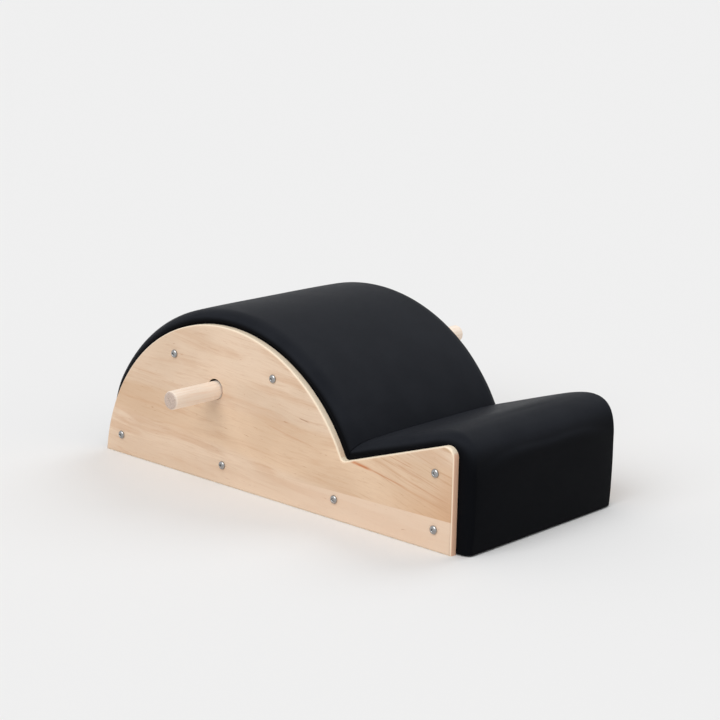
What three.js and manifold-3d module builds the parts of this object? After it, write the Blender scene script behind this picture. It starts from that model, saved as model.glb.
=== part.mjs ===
// Pilates spine corrector: a padded barrel and step between two solid wood side panels, with a loose
// wooden handle rod through both panels. Millimetres, +Z up, +X from the barrel towards the step.
// The origin is on the floor, under the middle of the length and width of the body without its rod.
import * as THREE from "three";
import { mergeVertices } from "three/addons/utils/BufferGeometryUtils.js";
import Module from "manifold-3d";

const wasm = await Module();
wasm.setup();

// Overall size
const overallLength = 950;
const overallWidth = 450;
const overallHeight = 340;

// Side panels
const panelThickness = 16;
const barrelRadius = 345;
const stepFrontHeight = 202;
const valleyHeight = 114.2;
const valleyRadius = 10;
const stepCornerRadius = 19;
const panelEdgeRadius = 5;

// Cushions, measured square to the edge of the panel
const barrelPadRise = 28.4;
const seatPadRise = 28.4;
const frontPadRise = 33;
const frontPadHemRise = 26;
const shoulderRadius = 18;
const valleyShoulderRadius = 38;
const frontShoulderRadius = 13;
const valleyShoulderReach = 60;
const crownHeight = 1.6;
const tailFadeLength = 150;
const seatCornerReach = 110;
const frontCornerReach = 95;
const hemHeight = 3;
const coverThickness = 1.2;
const roundedShare = 2 / 3;

// Boards under the cushions
const skinThickness = 6;
const deckThickness = 12;
const deckBearing = 18;
const frontBoardThickness = 12;
const baseThickness = 18;
const ribThickness = 12;
const ribSpacing = 142;

// Cross rails and the bolts that hold the panels to them
const railWidth = 40;
const boltEdgeDistance = 43;
const crownBoltDegrees = 26.6;
const baseBoltHeight = 40;
const valleyBoltInset = 16;
const tailBoltInset = 49;
const frontBoltInset = 39;
const upperBoltDrop = 46;
const boltRadius = 4;
const boltLength = 36;
const boltPointLength = 1;
const boltHeadRadius = 8;
const boltHeadHeight = 4.6;
const boltHeadRim = 1;
const socketAcrossFlats = 5;
const socketDepth = 2.6;
const insertRadius = 6;
const insertLength = 24;
const insertHoleSpare = 6;

// Handle rod
const rodRadius = 18;
const rodLength = 839;
const rodShift = 78;
const rodEndRadius = 4;
const rodHoleRadius = 20;
const rodHoleEdge = 1;
const rodHoleOffset = -20.7;
const rodHoleHeight = 186.7;
const ribHoleSpare = 4;

// Clearances
const seatGap = 0.3;
const boltHoleClearance = 0.4;
const cutOverrun = 8;

// Facets of the round forms
const panelArcFacets = 44;
const filletFacets = 5;
const edgeFacets = 3;
const padArcFacets = 26;
const seatRunFacets = 7;
const seatCornerFacets = 8;
const seatFrontFacets = 5;
const shoulderFacets = 3;
const crownFacets = 4;
const boltFacets = 16;
const domeFacets = 3;
const rodFacets = 40;

// Places worked out from those sizes
const innerHalf = overallWidth / 2 - panelThickness;
const boardWidth = 2 * (innerHalf - seatGap);
const tailX = -overallLength / 2;
const panelFrontX = overallLength / 2 - frontPadRise;
const axisZ = overallHeight - barrelPadRise - barrelRadius;
const axisX = tailX + Math.sqrt(barrelRadius ** 2 - axisZ ** 2);
const axis = new THREE.Vector2(axisX, axisZ);
const valleyX = axisX + Math.sqrt(barrelRadius ** 2 - (valleyHeight - axisZ) ** 2);
const stepFront = new THREE.Vector2(panelFrontX, stepFrontHeight);
const slope = Math.atan2(stepFrontHeight - valleyHeight, panelFrontX - valleyX);
const along = new THREE.Vector2(Math.cos(slope), Math.sin(slope));
const upward = new THREE.Vector2(-Math.sin(slope), Math.cos(slope));
const boltCircle = barrelRadius - boltEdgeDistance;
const skinInner = Math.hypot(boltCircle + railWidth / 2, railWidth / 2) + seatGap;
const skinOuter = skinInner + skinThickness;
const padInset = barrelRadius - skinOuter;
const deckUnder = padInset + deckThickness;
const frontBoltX = panelFrontX - frontBoltInset;
const boardBackX = frontBoltX + railWidth / 2 + seatGap;
const boardFrontX = boardBackX + frontBoardThickness;
const rodHoleX = axisX + rodHoleOffset;
const rodZ = rodHoleHeight - (rodHoleRadius - rodRadius - seatGap);

// A point on a circle around the barrel's axis
function onCircle(radius, angle) {
  return new THREE.Vector2(Math.cos(angle), Math.sin(angle)).multiplyScalar(radius).add(axis);
}

// The angle, on the tail side, at which such a circle is at a height
function tailAngle(radius, height) {
  return Math.PI - Math.asin((height - axisZ) / radius);
}

function angleOf(point, centre = axis) {
  return Math.atan2(point.y - centre.y, point.x - centre.x);
}

// A point at a distance along the step's edge from its front end, and at a depth below that edge
function onStep(run, depth) {
  return stepFront.clone().addScaledVector(along, run).addScaledVector(upward, -depth);
}

function runOf(point) {
  return point.clone().sub(stepFront).dot(along);
}

// The height of a line that runs parallel to the step's edge at a depth below it
function stepHeight(x, depth) {
  return stepFrontHeight + (x - panelFrontX) * Math.tan(slope) - depth / Math.cos(slope);
}

// Where a circle around the barrel's axis meets such a line, on the side of the step
function valleyPoint(radius, depth) {
  const across = onStep(0, depth).sub(axis).dot(upward);
  const reach = Math.sqrt(radius ** 2 - across ** 2);
  return axis.clone().addScaledVector(upward, across).addScaledVector(along, reach);
}

function arcPoints(centre, radius, from, to, facets) {
  return Array.from({ length: facets + 1 }, (_, k) => {
    const angle = THREE.MathUtils.lerp(from, to, k / facets);
    return new THREE.Vector2(Math.cos(angle), Math.sin(angle)).multiplyScalar(radius).add(centre);
  });
}

// Booleans
function solidOf(geometry) {
  const bare = geometry.clone();
  bare.deleteAttribute("normal");
  bare.deleteAttribute("uv");
  const merged = mergeVertices(bare);
  return new wasm.Manifold(
    new wasm.Mesh({
      numProp: 3,
      vertProperties: merged.attributes.position.array,
      triVerts: new Uint32Array(merged.index.array),
    }),
  );
}

function cut(geometry, cutters) {
  const solid = cutters.reduce((rest, cutter) => rest.subtract(solidOf(cutter)), solidOf(geometry));
  const mesh = solid.getMesh();
  const result = new THREE.BufferGeometry();
  result.setAttribute("position", new THREE.BufferAttribute(mesh.vertProperties, 3));
  result.setIndex(new THREE.BufferAttribute(mesh.triVerts, 1));
  const faceted = result.toNonIndexed();
  faceted.computeVertexNormals();
  return faceted;
}

// An outline in X and Z, extruded along Y to both sides of its plane
function plate(outline, thickness) {
  const shape = new THREE.Shape(outline);
  const geometry = new THREE.ExtrudeGeometry(shape, { depth: thickness, bevelEnabled: false });
  return geometry.rotateX(Math.PI / 2).translate(0, thickness / 2, 0);
}

// A round bar along Y, through a place in X and Z
function bar(radius, length, place, y, facets) {
  return new THREE.CylinderGeometry(radius, radius, length, facets).translate(place.x, y, place.y);
}

// A profile of radius and distance along Y, turned about Y
function turned(profile, facets) {
  const points = profile.map(([radius, y]) => new THREE.Vector2(radius, y));
  return new THREE.LatheGeometry(points, facets);
}

// The quarter round at the end of a turned profile, from its side to its end face
function endRound(radius, end, rounding, facets) {
  return Array.from({ length: facets + 1 }, (_, k) => {
    const angle = (Math.PI / 2) * (k / facets);
    return [radius - rounding * (1 - Math.cos(angle)), end - rounding * (1 - Math.sin(angle))];
  });
}

function rectangle(rear, front, low, high) {
  return [
    new THREE.Vector2(rear, low),
    new THREE.Vector2(front, low),
    new THREE.Vector2(front, high),
    new THREE.Vector2(rear, high),
  ];
}

// The part of a convex outline that lies below a straight line, given by its normal and distance
function planed(outline, normal, distance) {
  return outline.flatMap((point, k) => {
    const next = outline[(k + 1) % outline.length];
    const here = point.dot(normal) - distance;
    const there = next.dot(normal) - distance;
    const kept = here <= 0 ? [point] : [];
    return here * there < 0 ? [...kept, point.clone().lerp(next, here / (here - there))] : kept;
  });
}

// Materials
const maple = new THREE.MeshStandardMaterial({ color: 0xd9bb9f, roughness: 0.5, metalness: 0 });
const pine = new THREE.MeshStandardMaterial({ color: 0xd8bd8c, roughness: 0.7, metalness: 0 });
const plywood = new THREE.MeshStandardMaterial({ color: 0xcfae7d, roughness: 0.7, metalness: 0 });
const rodWood = new THREE.MeshStandardMaterial({ color: 0xead0ba, roughness: 0.5, metalness: 0 });
const leather = new THREE.MeshStandardMaterial({ color: 0x26272a, roughness: 0.45, metalness: 0 });
const foam = new THREE.MeshStandardMaterial({ color: 0x8d8f92, roughness: 0.9, metalness: 0 });
const steel = new THREE.MeshStandardMaterial({ color: 0xb9b8b5, roughness: 0.3, metalness: 1 });
const zinc = new THREE.MeshStandardMaterial({ color: 0xc2b98f, roughness: 0.4, metalness: 1 });

const spineCorrector = new THREE.Group();
const carcase = new THREE.Group();
const cushions = new THREE.Group();
const fasteners = new THREE.Group();
const handle = new THREE.Group();
spineCorrector.add(carcase, cushions, fasteners, handle);

function add(group, name, geometry, material, x = 0, y = 0, z = 0) {
  const mesh = new THREE.Mesh(geometry, material.clone());
  mesh.name = name;
  mesh.position.set(x, y, z);
  group.add(mesh);
  return mesh;
}

const sides = [
  { name: "near", sign: -1 },
  { name: "far", sign: 1 },
];

// Cross rails: each place names the faces of the rail that bear on a board, the skin or the deck
const baseReach = baseBoltHeight - baseThickness - seatGap;
const crownTurn = THREE.MathUtils.degToRad(crownBoltDegrees);
const upperBoltHeight = stepHeight(frontBoltX, 0) - upperBoltDrop;
const valleyBoltX = valleyX - valleyBoltInset;
const places = [
  { name: "tail", x: tailX + tailBoltInset, z: baseBoltHeight, reach: baseReach, bears: "low rear" },
  { name: "base_middle", x: axisX, z: baseBoltHeight, reach: baseReach, bears: "low" },
  { name: "base_valley", x: valleyBoltX, z: baseBoltHeight, reach: baseReach, bears: "low" },
  { name: "front_lower", x: frontBoltX, z: baseBoltHeight, reach: baseReach, bears: "low front" },
  { name: "front_upper", x: frontBoltX, z: upperBoltHeight, bears: "high front" },
  { name: "crown_rear", turn: crownTurn, bears: "high" },
  { name: "crown_front", turn: -crownTurn, bears: "high" },
].map(({ name, x, z, bears, turn = 0, reach = railWidth / 2 }) => {
  const centre = turn ? onCircle(boltCircle, Math.PI / 2 + turn) : new THREE.Vector2(x, z);
  return { name, centre, turn, reach, bears };
});

// A rail's section about its bolts, planed where it would meet the bent skin or the sloping deck
function railSection({ name, centre, reach }) {
  const square = rectangle(-railWidth / 2, railWidth / 2, -reach, reach);
  const radius = skinInner - seatGap;
  const top = onCircle(radius, tailAngle(radius, centre.y + reach));
  const bottom = onCircle(radius, tailAngle(radius, centre.y - reach));
  const chord = top.lerp(bottom, 1 / 2);
  const toSkin = chord.clone().sub(axis).normalize();
  const underDeck = onStep(0, deckUnder + seatGap);
  if (name === "tail") return planed(square, toSkin, chord.sub(centre).dot(toSkin));
  if (name === "front_upper") return planed(square, upward, underDeck.sub(centre).dot(upward));
  return square;
}

function rail(place) {
  const holeRadius = insertRadius + seatGap;
  const holeLength = 2 * (insertLength + insertHoleSpare);
  const middle = new THREE.Vector2();
  const holes = sides.map(({ sign }) => {
    return bar(holeRadius, holeLength, middle, (sign * boardWidth) / 2, boltFacets);
  });
  return cut(plate(railSection(place), boardWidth), holes);
}

// The notch that lets a rail pass through a rib, open on the faces that bear
function railNotch({ centre, turn, reach, bears }) {
  const spare = (face) => seatGap + (bears.includes(face) ? cutOverrun : 0);
  const half = railWidth / 2;
  const outline = rectangle(
    -half - spare("rear"),
    half + spare("front"),
    -reach - spare("low"),
    reach + spare("high"),
  );
  return plate(outline, 2 * ribThickness).rotateY(-turn).translate(centre.x, 0, centre.y);
}

for (const place of places) {
  const mesh = add(carcase, place.name + "_rail", rail(place), pine, place.centre.x, 0, place.centre.y);
  mesh.rotation.y = -place.turn;
}

// Side panels: a barrel arc, a filleted valley, and a sloping step with a round front corner
function panelOutline() {
  const fillet = valleyPoint(barrelRadius + valleyRadius, -valleyRadius);
  const meeting = angleOf(fillet);
  const cornerX = panelFrontX - stepCornerRadius;
  const corner = new THREE.Vector2(cornerX, stepHeight(cornerX, stepCornerRadius));
  const valley = arcPoints(fillet, valleyRadius, meeting + Math.PI, 1.5 * Math.PI + slope, filletFacets);
  return [
    ...arcPoints(axis, barrelRadius, tailAngle(barrelRadius, 0), meeting, panelArcFacets),
    ...valley.slice(1),
    ...arcPoints(corner, stepCornerRadius, Math.PI / 2 + slope, 0, filletFacets),
    new THREE.Vector2(panelFrontX, 0),
  ];
}

// The cutter for the rod's hole, wider by the eased edge at the outer face
function rodHole(sign) {
  const beyond = panelThickness + cutOverrun;
  const profile = [
    [0, -cutOverrun],
    [rodHoleRadius, -cutOverrun],
    [rodHoleRadius, panelThickness - rodHoleEdge],
    [rodHoleRadius + rodHoleEdge + cutOverrun, beyond],
    [0, beyond],
  ];
  const cutter = turned(profile, rodFacets);
  if (sign < 0) cutter.rotateX(Math.PI);
  return cutter.translate(rodHoleX, 0, rodHoleHeight);
}

// A panel with its inner face at y = 0, rounded all round its outer face
function sidePanel(sign) {
  const depth = panelThickness + cutOverrun;
  const fullDepth = depth + 2 * panelEdgeRadius;
  const board = new THREE.ExtrudeGeometry(new THREE.Shape(panelOutline()), {
    depth,
    bevelThickness: panelEdgeRadius,
    bevelSize: panelEdgeRadius,
    bevelOffset: -panelEdgeRadius,
    bevelSegments: edgeFacets,
  });
  board.rotateX(Math.PI / 2).translate(0, depth / 2, 0);
  board.translate(0, sign * (panelThickness - fullDepth / 2), 0);
  const inside = new THREE.BoxGeometry(2 * overallLength, fullDepth, 2 * overallHeight);
  inside.translate(0, (-sign * fullDepth) / 2, 0);
  const holes = places.map(({ centre }) => {
    return bar(boltRadius + boltHoleClearance, 2 * fullDepth, centre, 0, boltFacets);
  });
  return cut(board, [inside, rodHole(sign), ...holes]);
}

for (const { name, sign } of sides) {
  add(carcase, "side_panel_" + name, sidePanel(sign), maple, 0, sign * innerHalf, 0);
}

// Boards: the base, the bent skin of the barrel, the deck of the step and the board at its front
function baseBoard() {
  const rear = onCircle(skinInner, tailAngle(skinInner, baseThickness)).x + seatGap;
  return plate(rectangle(rear, boardBackX - seatGap, 0, baseThickness), boardWidth);
}

function barrelSkin() {
  const endOf = (radius) => angleOf(valleyPoint(radius, padInset - seatGap));
  const outside = arcPoints(
    axis,
    skinOuter,
    tailAngle(skinOuter, seatGap),
    endOf(skinOuter),
    panelArcFacets,
  );
  const inside = arcPoints(
    axis,
    skinInner,
    endOf(skinInner),
    tailAngle(skinInner, seatGap),
    panelArcFacets,
  );
  return plate([...outside, ...inside], boardWidth);
}

const deckRearRun = runOf(valleyPoint(skinInner, padInset)) - deckBearing;

function seatDeck() {
  const outline = [
    onStep(deckRearRun, padInset),
    onStep(deckRearRun, deckUnder),
    new THREE.Vector2(boardFrontX, stepHeight(boardFrontX, deckUnder)),
    new THREE.Vector2(boardFrontX, stepHeight(boardFrontX, padInset)),
  ];
  return plate(outline, boardWidth);
}

function frontBoard() {
  const outline = rectangle(boardBackX, boardFrontX, 0, stepFrontHeight);
  const toDeck = onStep(0, deckUnder + seatGap).dot(upward);
  return plate(planed(outline, upward, toDeck), boardWidth);
}

add(carcase, "base_board", baseBoard(), plywood);
add(carcase, "barrel_skin", barrelSkin(), plywood);
add(carcase, "seat_deck", seatDeck(), plywood);
add(carcase, "front_board", frontBoard(), plywood);

// Inner ribs: they carry the skin and the deck, and stand on the base board around the rails
function rib() {
  const radius = skinInner - seatGap;
  const floor = baseThickness + seatGap;
  const frontX = boardBackX - seatGap;
  const deckRear = deckRearRun - seatGap;
  const skinEnd = angleOf(valleyPoint(radius, padInset - seatGap));
  const outline = [
    ...arcPoints(axis, radius, tailAngle(radius, floor), skinEnd, panelArcFacets),
    onStep(deckRear, padInset - seatGap),
    onStep(deckRear, deckUnder + seatGap),
    new THREE.Vector2(frontX, stepHeight(frontX, deckUnder + seatGap)),
    new THREE.Vector2(frontX, floor),
  ];
  const rodPlace = new THREE.Vector2(rodHoleX, rodHoleHeight);
  const hole = bar(rodHoleRadius + ribHoleSpare, 2 * ribThickness, rodPlace, 0, rodFacets);
  return cut(plate(outline, ribThickness), [hole, ...places.map(railNotch)]);
}

for (const { name, sign } of sides) {
  add(carcase, "inner_rib_" + name, rib(), plywood, 0, (sign * ribSpacing) / 2, 0);
}

// Bolts with domed socket heads, and the threaded inserts that they screw into
function bolt() {
  const dome = endRound(1, 1, 1, domeFacets).map(([radius, height]) => {
    return [radius * boltHeadRadius, boltHeadRim + height * (boltHeadHeight - boltHeadRim)];
  });
  const profile = [
    [0, -boltLength],
    [boltRadius - boltPointLength, -boltLength],
    [boltRadius, boltPointLength - boltLength],
    [boltRadius, 0],
    [boltHeadRadius, 0],
    ...dome,
  ];
  const socketRadius = socketAcrossFlats / Math.sqrt(3);
  const socket = new THREE.CylinderGeometry(socketRadius, socketRadius, 2 * socketDepth, 6);
  return cut(turned(profile, boltFacets), [socket.translate(0, boltHeadHeight, 0)]);
}

function insert() {
  const bore = boltRadius + seatGap;
  const profile = [
    [bore, -insertLength],
    [insertRadius, -insertLength],
    [insertRadius, 0],
    [bore, 0],
    [bore, -insertLength],
  ];
  return turned(profile, boltFacets);
}

for (const { name, centre } of places) {
  for (const side of sides) {
    const label = name + "_" + side.name;
    const boltY = side.sign * (overallWidth / 2 + seatGap);
    const insertY = (side.sign * boardWidth) / 2;
    const pieces = [
      add(fasteners, "bolt_" + label, bolt(), steel, centre.x, boltY, centre.y),
      add(fasteners, "insert_" + label, insert(), zinc, centre.x, insertY, centre.y),
    ];
    if (side.sign < 0) pieces.forEach((piece) => (piece.rotation.x = Math.PI));
  }
}

// Cushions: rows of points follow each cushion's length, each from a foot on the board to the surface
function barrelRows(inset) {
  const tail = tailAngle(barrelRadius - inset, hemHeight);
  const crease = angleOf(valleyPoint(barrelRadius + barrelPadRise - inset, inset - seatPadRise));
  const gap = seatGap / barrelRadius;
  const step = (tail - crease) / padArcFacets;
  const footRadius = (skinOuter + seatGap) / Math.cos(step / 2);
  const footTail = tailAngle(footRadius, hemHeight);
  const footEnd = angleOf(valleyPoint(footRadius, padInset - seatGap));
  return Array.from({ length: padArcFacets + 1 }, (_, k) => {
    const share = k / padArcFacets;
    const angle = THREE.MathUtils.lerp(tail, crease + gap, share);
    const fromTail = (tail - angle) * barrelRadius;
    const fromCrease = (angle - crease) * barrelRadius;
    const rise = barrelPadRise * THREE.MathUtils.smoothstep(fromTail, 0, tailFadeLength);
    return {
      top: onCircle(barrelRadius + rise - inset, angle),
      foot: onCircle(footRadius, THREE.MathUtils.lerp(footTail, footEnd + gap, share)),
      shoulder: valleyShoulder(fromCrease) - inset,
    };
  });
}

// The shoulder widens where the two cushions press together in the valley
function valleyShoulder(distance) {
  const away = THREE.MathUtils.smoothstep(distance, 0, valleyShoulderReach);
  return THREE.MathUtils.lerp(valleyShoulderRadius, shoulderRadius, away);
}

function seatRows(inset) {
  const depth = inset - seatPadRise;
  const faceX = panelFrontX + frontPadRise - inset;
  const faceTop = stepHeight(faceX, depth);
  const cornerRun = runOf(new THREE.Vector2(faceX, faceTop));
  const creaseRun = runOf(valleyPoint(barrelRadius + barrelPadRise - inset, depth)) + seatGap;
  const corner = new THREE.QuadraticBezierCurve(
    onStep(cornerRun - seatCornerReach, depth),
    new THREE.Vector2(faceX, faceTop),
    new THREE.Vector2(faceX, faceTop - frontCornerReach),
  );
  const footDepth = padInset - seatGap;
  const footRun = runOf(valleyPoint(skinOuter + seatGap, footDepth)) + seatGap;
  const footX = boardFrontX + seatGap;
  const footCorner = new THREE.Vector2(footX, stepHeight(footX, footDepth));
  const footTurn = onStep(cornerRun - seatCornerReach, footDepth);
  const faceFoot = new THREE.Vector2(footX, faceTop - frontCornerReach);
  const run = Array.from({ length: seatRunFacets }, (_, k) => {
    const share = k / seatRunFacets;
    const top = onStep(THREE.MathUtils.lerp(creaseRun, runOf(corner.v0), share), depth);
    return {
      top,
      foot: onStep(THREE.MathUtils.lerp(footRun, runOf(footTurn), share), footDepth),
      shoulder: valleyShoulder(runOf(top) - creaseRun) - inset,
    };
  });
  const turn = Array.from({ length: seatCornerFacets }, (_, k) => {
    const share = k / seatCornerFacets;
    const before = footTurn.clone().lerp(footCorner, 2 * share);
    const after = footCorner.clone().lerp(faceFoot, 2 * share - 1);
    return {
      top: corner.getPoint(share),
      foot: share < 1 / 2 ? before : after,
      shoulder: THREE.MathUtils.lerp(shoulderRadius, frontShoulderRadius, share) - inset,
    };
  });
  const face = Array.from({ length: seatFrontFacets + 1 }, (_, k) => {
    const share = k / seatFrontFacets;
    const z = THREE.MathUtils.lerp(corner.v2.y, hemHeight, share);
    const drawnIn = (frontPadRise - frontPadHemRise) * share ** 3;
    return {
      top: new THREE.Vector2(faceX - drawnIn, z),
      foot: new THREE.Vector2(footX, z),
      shoulder: frontShoulderRadius - inset,
    };
  });
  return [...run, ...turn, ...face];
}

// A row's outline across the cushion: straight side, round shoulder, and a crown to the other side
function crossing({ top, foot, shoulder }, inset) {
  const height = top.distanceTo(foot);
  const halfWidth = boardWidth / 2 - inset;
  const radius = Math.min(shoulder, height * roundedShare);
  const flatHalf = halfWidth - radius;
  const corner = new THREE.Vector2(flatHalf, height - crownHeight - radius);
  const crown = Array.from({ length: crownFacets }, (_, k) => {
    const share = 1 - (k + 1) / crownFacets;
    return new THREE.Vector2(flatHalf * share, height - crownHeight * share ** 4);
  });
  const half = [
    new THREE.Vector2(halfWidth, 0),
    ...arcPoints(corner, radius, 0, Math.PI / 2, shoulderFacets),
    ...crown,
  ];
  const otherHalf = half.slice(0, -1).reverse();
  return [...half, ...otherHalf.map(({ x, y }) => new THREE.Vector2(-x, y))];
}

// The places in space of a row's outline
function lifted(outline, { top, foot }) {
  const out = top.clone().sub(foot).normalize();
  return outline.map(({ x, y }) => new THREE.Vector3(foot.x + out.x * y, x, foot.y + out.y * y));
}

// A closed body through a list of outlines that have the same number of points
function loft(outlines, places) {
  const count = outlines[0].length;
  const triangles = [];
  for (let row = 1; row < places.length; row += 1) {
    for (let k = 0; k < count; k += 1) {
      const next = (k + 1) % count;
      const [a, b, c, d] = [
        places[row - 1][k],
        places[row - 1][next],
        places[row][next],
        places[row][k],
      ];
      triangles.push(a, b, c, a, c, d);
    }
  }
  for (const [a, b, c] of THREE.ShapeUtils.triangulateShape(outlines[0], [])) {
    triangles.push(places[0][c], places[0][b], places[0][a]);
  }
  for (const [a, b, c] of THREE.ShapeUtils.triangulateShape(outlines.at(-1), [])) {
    triangles.push(places.at(-1)[a], places.at(-1)[b], places.at(-1)[c]);
  }
  const geometry = new THREE.BufferGeometry().setFromPoints(triangles);
  geometry.computeVertexNormals();
  return geometry;
}

// The foam fills the cover, and the cover is a sheet over its surface and down its sides
function foamBlock(rowsOf) {
  const inset = coverThickness + seatGap;
  const rows = rowsOf(inset);
  const outlines = rows.map((row) => crossing(row, inset));
  return loft(outlines, outlines.map((outline, k) => lifted(outline, rows[k])));
}

function coverSheet(rowsOf) {
  const outerRows = rowsOf(0);
  const innerRows = rowsOf(coverThickness);
  const outlines = [];
  const places = [];
  outerRows.forEach((outer, k) => {
    const outside = crossing(outer, 0);
    const inside = crossing(innerRows[k], coverThickness).reverse();
    outlines.push([...outside, ...inside]);
    places.push([...lifted(outside, outer), ...lifted(inside, innerRows[k])]);
  });
  return loft(outlines, places);
}

add(cushions, "barrel_foam", foamBlock(barrelRows), foam);
add(cushions, "barrel_cover", coverSheet(barrelRows), leather);
add(cushions, "seat_foam", foamBlock(seatRows), foam);
add(cushions, "seat_cover", coverSheet(seatRows), leather);

// The handle rod lies loose in its holes, on their lower edges, slid towards the far side
function handleRod() {
  const end = endRound(rodRadius, rodLength / 2, rodEndRadius, edgeFacets);
  const start = end.map(([radius, y]) => [radius, -y]).reverse();
  const profile = [[0, -rodLength / 2], ...start, ...end, [0, rodLength / 2]];
  return turned(profile, rodFacets);
}

add(handle, "handle_rod", handleRod(), rodWood, rodHoleX, rodShift, rodZ);

export default spineCorrector;
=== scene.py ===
import math

import bmesh
import bpy
import numpy
from mathutils import Matrix, Vector

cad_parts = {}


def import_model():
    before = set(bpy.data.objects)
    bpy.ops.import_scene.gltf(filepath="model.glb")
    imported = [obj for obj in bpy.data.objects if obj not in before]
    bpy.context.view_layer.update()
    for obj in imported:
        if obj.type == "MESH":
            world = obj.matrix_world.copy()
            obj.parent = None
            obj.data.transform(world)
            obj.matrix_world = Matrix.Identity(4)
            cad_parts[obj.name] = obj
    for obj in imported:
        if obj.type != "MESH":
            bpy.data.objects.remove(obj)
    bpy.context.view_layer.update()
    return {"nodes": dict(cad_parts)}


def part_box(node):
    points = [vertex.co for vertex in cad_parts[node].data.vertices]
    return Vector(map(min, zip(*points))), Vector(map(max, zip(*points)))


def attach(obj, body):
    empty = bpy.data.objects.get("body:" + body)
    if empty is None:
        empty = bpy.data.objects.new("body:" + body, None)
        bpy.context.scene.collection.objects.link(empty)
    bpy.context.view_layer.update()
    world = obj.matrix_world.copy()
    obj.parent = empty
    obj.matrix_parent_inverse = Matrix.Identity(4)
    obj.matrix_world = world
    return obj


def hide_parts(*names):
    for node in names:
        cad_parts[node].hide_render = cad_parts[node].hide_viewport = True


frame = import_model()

MM = 0.001

# Places read from the frame, in metres
PANEL_LOW, PANEL_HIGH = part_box("side_panel_near")
ROD_LOW, ROD_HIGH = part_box("handle_rod")
TAIL_X = PANEL_LOW.x
PANEL_FRONT_X = PANEL_HIGH.x
PANEL_THICKNESS = PANEL_HIGH.y - PANEL_LOW.y
INNER_HALF = -PANEL_HIGH.y
OUTER_HALF = -PANEL_LOW.y

# Side panels
OVERALL_HEIGHT = 340 * MM
BARREL_RADIUS = 345 * MM
STEP_FRONT_HEIGHT = 202 * MM
VALLEY_HEIGHT = 114.2 * MM
VALLEY_RADIUS = 10 * MM
STEP_CORNER_RADIUS = 19 * MM
PANEL_EDGE_RADIUS = 5 * MM
PANEL_INNER_EASE = 1.2 * MM
BOLT_HOLE_RADIUS = 4.4 * MM
ROD_HOLE_RADIUS = 20 * MM
ROD_HOLE_EDGE = 1 * MM
ROD_HOLE_HEIGHT = 186.7 * MM

# The gap that keeps pieces apart where they sit on each other
SEAT_GAP = 0.3 * MM

# Cushions, measured square to the edge of the panel
PAD_RISE = 28.4 * MM
PAD_INSET = 16.1 * MM
FRONT_PAD_RISE = 33 * MM
FRONT_PAD_HEM_RISE = 29 * MM
SHOULDER_REACH = 28 * MM
VALLEY_SHOULDER_REACH = 54 * MM
FRONT_SHOULDER_REACH = 12 * MM
VALLEY_REACH = 50 * MM
BULGE = 1.5 * MM
CROWN_BULGE = 4.5 * MM
FAR_BULGE = 5.5 * MM
BULGE_SHARE = 0.2
BULGE_LIMIT_SHARE = 0.3
BELLY_LIMIT_SHARE = 0.8
CROWN_HEIGHT = 1.2 * MM
CROWN_LIMIT_SHARE = 0.1
CROWN_POWER = 4
TAIL_RISE = 1.2 * MM
TAIL_FADE_LENGTH = 150 * MM
SEAT_CORNER_REACH = 110 * MM
FRONT_CORNER_REACH = 95 * MM
HEM_HEIGHT = 3 * MM
CREASE_LIP = 0.8 * MM

# Bolts
BOLT_RADIUS = 4 * MM
BOLT_LENGTH = 36 * MM
BOLT_POINT = 1 * MM
HEAD_RADIUS = 8 * MM
HEAD_HEIGHT = 4.6 * MM
HEAD_RIM = 1 * MM
HEAD_EASE = 0.3 * MM
SOCKET_ACROSS_FLATS = 5 * MM
SOCKET_DEPTH = 2.6 * MM
SOCKET_CHAMFER = 0.4 * MM
SOCKET_POINT = 0.5 * MM
SOCKET_POINT_SHARE = 0.5

# Handle rod
ROD_RADIUS = 18 * MM
ROD_END_RADIUS = 6 * MM

# Places worked out from those sizes
AXIS_Z = OVERALL_HEIGHT - PAD_RISE - BARREL_RADIUS
AXIS_X = TAIL_X + math.sqrt(BARREL_RADIUS**2 - AXIS_Z**2)
AXIS = Vector((AXIS_X, AXIS_Z))
VALLEY_X = AXIS_X + math.sqrt(BARREL_RADIUS**2 - (VALLEY_HEIGHT - AXIS_Z) ** 2)
STEP_FRONT = Vector((PANEL_FRONT_X, STEP_FRONT_HEIGHT))
SLOPE = math.atan2(STEP_FRONT_HEIGHT - VALLEY_HEIGHT, PANEL_FRONT_X - VALLEY_X)
ALONG = Vector((math.cos(SLOPE), math.sin(SLOPE)))
UPWARD = Vector((-math.sin(SLOPE), math.cos(SLOPE)))
ROD_X = (ROD_LOW.x + ROD_HIGH.x) / 2
ROD_Z = (ROD_LOW.z + ROD_HIGH.z) / 2
CUSHION_HALF = INNER_HALF - SEAT_GAP


def on_circle(radius, angle):
    """A point on a circle around the barrel's axis, in X and Z."""
    return AXIS + radius * Vector((math.cos(angle), math.sin(angle)))


def tail_angle(radius, height):
    """The angle, on the tail side, at which such a circle is at a height."""
    return math.pi - math.asin((height - AXIS_Z) / radius)


def angle_of(point, centre=AXIS):
    return math.atan2(point.y - centre.y, point.x - centre.x)


def on_step(run, depth):
    """A point at a distance along the step's edge from its front end, and a depth below it."""
    return STEP_FRONT + run * ALONG - depth * UPWARD


def run_of(point):
    return (point - STEP_FRONT).dot(ALONG)


def step_height(x, depth):
    return STEP_FRONT_HEIGHT + (x - PANEL_FRONT_X) * math.tan(SLOPE) - depth / math.cos(SLOPE)


def valley_point(radius, depth):
    """Where a circle around the barrel's axis meets a line at a depth below the step's edge."""
    across = (on_step(0, depth) - AXIS).dot(UPWARD)
    return AXIS + across * UPWARD + math.sqrt(radius**2 - across**2) * ALONG


def shares(count):
    return [k / count for k in range(count + 1)]


def mix(first, second, share):
    return first + (second - first) * share


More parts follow.
